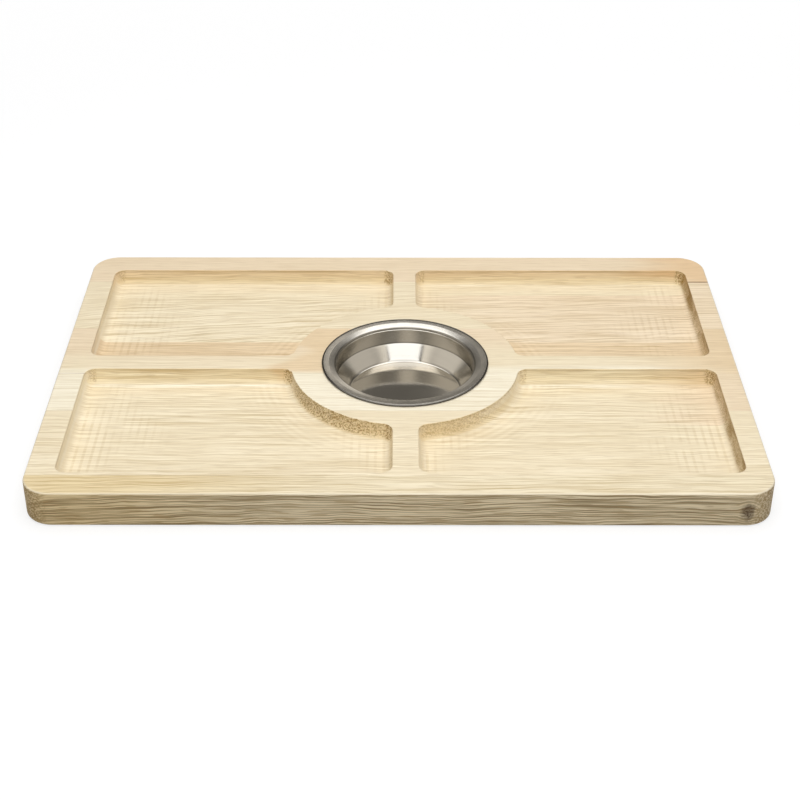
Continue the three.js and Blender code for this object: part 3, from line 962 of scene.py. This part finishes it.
class TRAY_OT_cup(Operator):
    """Press the dip cup from sheet"""

    bl_idname = "tray.cup"
    bl_label = "Dip cup"

    def execute(self, context):
        sizes = context.scene.tray_cup
        floor = CUP_LOW.z + sizes.sheet
        step = floor + sizes.lower_wall_height
        step_inside = sizes.inside_radius - sizes.step_width
        crown = BOARD_HIGH.z + sizes.crown_height
        slope_top = FLANGE_RADIUS - sizes.shed_width - sizes.flat_width
        mouth_radius = sizes.inside_radius + sizes.ledge_width
        mouth = crown - sizes.flat_fall - (slope_top - mouth_radius) * math.tan(sizes.flange_slope)
        ledge = mouth - sizes.ledge_drop
        bm = bmesh.new()
        rounded_line(
            bm,
            [
                (0.0, floor + sizes.floor_rise, 0.0),
                (FLOOR_FLAT, floor + sizes.floor_rise, sizes.floor_crown),
                (step_inside - sizes.lower_wall_draw, floor, sizes.floor_fillet),
                (step_inside, step, sizes.step_bend),
                (sizes.inside_radius, step + sizes.step_rise, sizes.step_bend),
                (sizes.inside_radius, ledge - sizes.ledge_rise, sizes.step_bend),
                (mouth_radius, ledge, sizes.step_bend),
                (mouth_radius, mouth, sizes.mouth_bend),
                (slope_top, crown - sizes.flat_fall, sizes.flange_bend),
                (FLANGE_RADIUS - sizes.shed_width, crown, sizes.edge_bend),
                (FLANGE_RADIUS, crown - sizes.shed_fall, sizes.edge_bend),
                (FLANGE_RADIUS, BOARD_HIGH.z + sizes.edge_tuck, sizes.edge_bend),
                (FLANGE_RADIUS - sizes.edge_tuck, BOARD_HIGH.z, 0.0),
            ],
        )
        bmesh.ops.remove_doubles(bm, verts=bm.verts[:], dist=WELD_REACH)
        bmesh.ops.spin(
            bm,
            geom=bm.verts[:] + bm.edges[:],
            cent=(WELL_X, WELL_Y, 0),
            axis=(0, 0, 1),
            angle=2 * math.pi,
            steps=ROUND_STEPS,
            use_merge=True,
        )
        bmesh.ops.remove_doubles(bm, verts=bm.verts[:], dist=WELD_REACH)
        bmesh.ops.recalc_face_normals(bm, faces=bm.faces[:])
        if min(bm.faces, key=lambda face: face.calc_center_median().z).normal.z < 0:
            bmesh.ops.reverse_faces(bm, faces=bm.faces[:])
        bmesh.ops.solidify(bm, geom=bm.faces[:], thickness=sizes.sheet)
        for face in bm.faces:
            face.smooth = True
        material = steel_material(sizes, context.scene.tray_finishes)
        finished("dip_cup_steel", bm, material, "cup", "dip_cup")
        return {"FINISHED"}


# Studio

def shell_material():
    """What the steel sees of the room: pale side walls, a darker back, and gaps beside the lamp."""
    material = bpy.data.materials.new("studio_shell")
    graph = Graph(material)
    coordinates = graph.coordinates()
    x, y, z = graph.parts(graph.vector("NORMALIZE", coordinates))
    level_reach = graph.distance(x, y)
    aside = x / graph.math("MAXIMUM", level_reach, 0.05)
    middle = graph.fall(abs(aside + 0.08), 0.08, 0.42)
    low = 0.25 + 0.56 * middle + 0.39 * graph.ramp(abs(aside), 0.62, 0.97)
    low = low + 0.12 * graph.ramp(-1 * aside, 0.3, 0.6)
    wall = 0.66 - 0.38 * graph.ramp(abs(aside), 0.68, 0.97)
    wall = wall + 0.32 + 0.07 * graph.fall(aside, -0.5, -0.3)
    high = 0.04 + wall * graph.ramp(abs(aside), 0.565, 0.6)
    front = low + (high - low) * graph.ramp(z, 0.61, 0.63)
    strips = 0.75 * graph.ramp(x, 0.06, 0.085) + 0.3 * graph.ramp(-1 * x, 0.06, 0.085)
    back = 0.14 + strips * graph.fall(abs(x), 0.13, 0.2) + 0.05 * graph.fall(z, 0.36, 0.46)
    level = front + (back - front) * graph.ramp(y, 0.2, 0.5)
    shade = graph.vector("SCALE", (1.0, 0.94, 0.84), level)
    light = graph.node("ShaderNodeEmission", None, {"Color": shade, "Strength": 1.0})
    graph.node("ShaderNodeOutputMaterial", None, {"Surface": light}, None)
    return material


def seen_rays(graph):
    """1 for rays that look at a surface, straight or in metal and glass, 0 for rays that light it."""
    path = graph.node("ShaderNodeLightPath", None, None, "Is Camera Ray")
    glossy = graph.math("MAXIMUM", path.named("Is Glossy Ray"), path.named("Is Transmission Ray"))
    return graph.math("MAXIMUM", path, glossy)


def floor_material(shade):
    """A pale floor that the picture shows white, with the object's soft shadow on it."""
    material = bpy.data.materials.new("studio_floor")
    graph = Graph(material)
    seen = seen_rays(graph)
    pale = graph.mix(seen, opaque(shade), (0.95, 0.95, 0.95, 1.0))
    matt = graph.node("ShaderNodeBsdfDiffuse", None, {"Color": pale})
    white = graph.node("ShaderNodeEmission", None, {"Color": (1.0, 1.0, 1.0, 1.0), "Strength": 1.12})
    distance = graph.vector("LENGTH", graph.coordinates())
    share = seen * (0.6 + 0.15 * graph.ramp(distance, 0.35, 0.9) + 0.25 * graph.ramp(distance, 0.8, 1.5))
    both = graph.node("ShaderNodeMixShader", None, {0: share, 1: matt, 2: white})
    graph.node("ShaderNodeOutputMaterial", None, {"Surface": both}, None)
    return material


def light_world(level):
    """White to the eye and in reflections, grey as light on matt surfaces."""
    world = bpy.data.worlds.new("studio_world")
    graph = Graph(world)
    seen = seen_rays(graph)
    shade = graph.mix(seen, (level, level, level, 1.0), (1.0, 1.0, 1.0, 1.0))
    background = graph.node("ShaderNodeBackground", None, {"Color": shade, "Strength": 1.0})
    graph.node("ShaderNodeOutputWorld", None, {"Surface": background}, None)
    return world


def stage_object(name, bm, material):
    """Make the mesh an object of the studio, which is no part of the tray."""
    staged = add_object(name, bm, material)
    return staged


def add_softbox(name, width, depth, power):
    """A rectangular lamp that the camera doesn't see."""
    lamp = bpy.data.lights.new(name, "AREA")
    lamp.shape = "RECTANGLE"
    lamp.size = width
    lamp.size_y = depth
    lamp.energy = power
    softbox = bpy.data.objects.new(name, lamp)
    softbox.visible_camera = False
    bpy.context.scene.collection.objects.link(softbox)
    return softbox


def aim_camera(studio):
    """Stand the camera where the picture was taken from."""
    sin_yaw, cos_yaw = math.sin(studio.camera_yaw), math.cos(studio.camera_yaw)
    sin_pitch, cos_pitch = math.sin(studio.camera_pitch), math.cos(studio.camera_pitch)
    ahead = Vector((sin_yaw * cos_pitch, cos_yaw * cos_pitch, -sin_pitch))
    right = Vector((cos_yaw, -sin_yaw, 0.0))
    upright = Matrix((right, right.cross(ahead), -ahead)).transposed()
    data = bpy.data.cameras.new("camera")
    data.lens = studio.camera_focus * data.sensor_width
    data.clip_start = 0.01
    data.clip_end = 50
    camera = bpy.data.objects.new("camera", data)
    turned = upright @ Matrix.Rotation(studio.camera_roll, 3, "Z")
    camera.matrix_world = Matrix.LocRotScale(studio.camera_place, turned, None)
    bpy.context.scene.collection.objects.link(camera)
    bpy.context.scene.camera = camera


class TRAY_OT_studio(Operator):
    """Set up the floor, the lamps, the room and the camera"""

    bl_idname = "tray.studio"
    bl_label = "Studio"

    def execute(self, context):
        scene = context.scene
        studio = scene.tray_studio
        scene.view_settings.view_transform = "Standard"
        scene.world = light_world(studio.fill_level)

        bm = bmesh.new()
        ground = Matrix.Translation((0, 0, -FLOOR_DROP))
        bmesh.ops.create_grid(bm, x_segments=1, y_segments=1, size=FLOOR_SIZE, matrix=ground)
        stage_object("studio_floor", bm, floor_material(studio.floor_colour))

        bm = bmesh.new()
        bmesh.ops.create_icosphere(bm, subdivisions=4, radius=SHELL_RADIUS)
        bmesh.ops.reverse_faces(bm, faces=bm.faces[:])
        shell = stage_object("studio_shell", bm, shell_material())
        for rays in ("camera", "diffuse", "transmission", "volume_scatter", "shadow"):
            setattr(shell, f"visible_{rays}", False)

        overhead = add_softbox("softbox", studio.softbox_width, studio.softbox_depth, studio.softbox_power)
        overhead.location = studio.softbox_place
        front = add_softbox("front_fill", FRONT_FILL_SIZE.x, FRONT_FILL_SIZE.y, studio.front_power)
        aimed = FRONT_FILL_PLACE.to_track_quat("Z", "Y")
        front.matrix_world = Matrix.LocRotScale(FRONT_FILL_PLACE, aimed, None)
        front.visible_glossy = False
        aim_camera(studio)
        return {"FINISHED"}


class TRAY_PT_tray(Panel):
    """Lists what the tray is made of"""

    bl_idname = "TRAY_PT_tray"
    bl_label = "Appetizer Tray"
    bl_space_type = "VIEW_3D"
    bl_region_type = "UI"
    bl_category = "Tray"

    def draw(self, context):
        for operator in OPERATORS:
            self.layout.operator(operator.bl_idname)
        for group in [getattr(context.scene, name) for name in GROUPS]:
            box = self.layout.box()
            for name in group.bl_rna.properties.keys():
                if name not in ("rna_type", "name"):
                    box.prop(group, name)


GROUPS = {
    "tray_board": TrayBoardSizes,
    "tray_cup": TrayCupSizes,
    "tray_finishes": TrayFinishes,
    "tray_studio": TrayStudio,
}
OPERATORS = (TRAY_OT_staves, TRAY_OT_cup, TRAY_OT_studio)


def register():
    for group in GROUPS.values():
        bpy.utils.register_class(group)
    for name, group in GROUPS.items():
        setattr(bpy.types.Scene, name, PointerProperty(type=group))
    for operator in OPERATORS:
        bpy.utils.register_class(operator)
    bpy.utils.register_class(TRAY_PT_tray)


def unregister():
    bpy.utils.unregister_class(TRAY_PT_tray)
    for operator in reversed(OPERATORS):
        bpy.utils.unregister_class(operator)
    for name in GROUPS:
        delattr(bpy.types.Scene, name)
    for group in reversed(GROUPS.values()):
        bpy.utils.unregister_class(group)


def main():
    register()
    bpy.ops.tray.staves()
    bpy.ops.tray.cup()
    bpy.ops.tray.studio()
    bpy.context.view_layer.update()


if __name__ == "__main__":
    main()
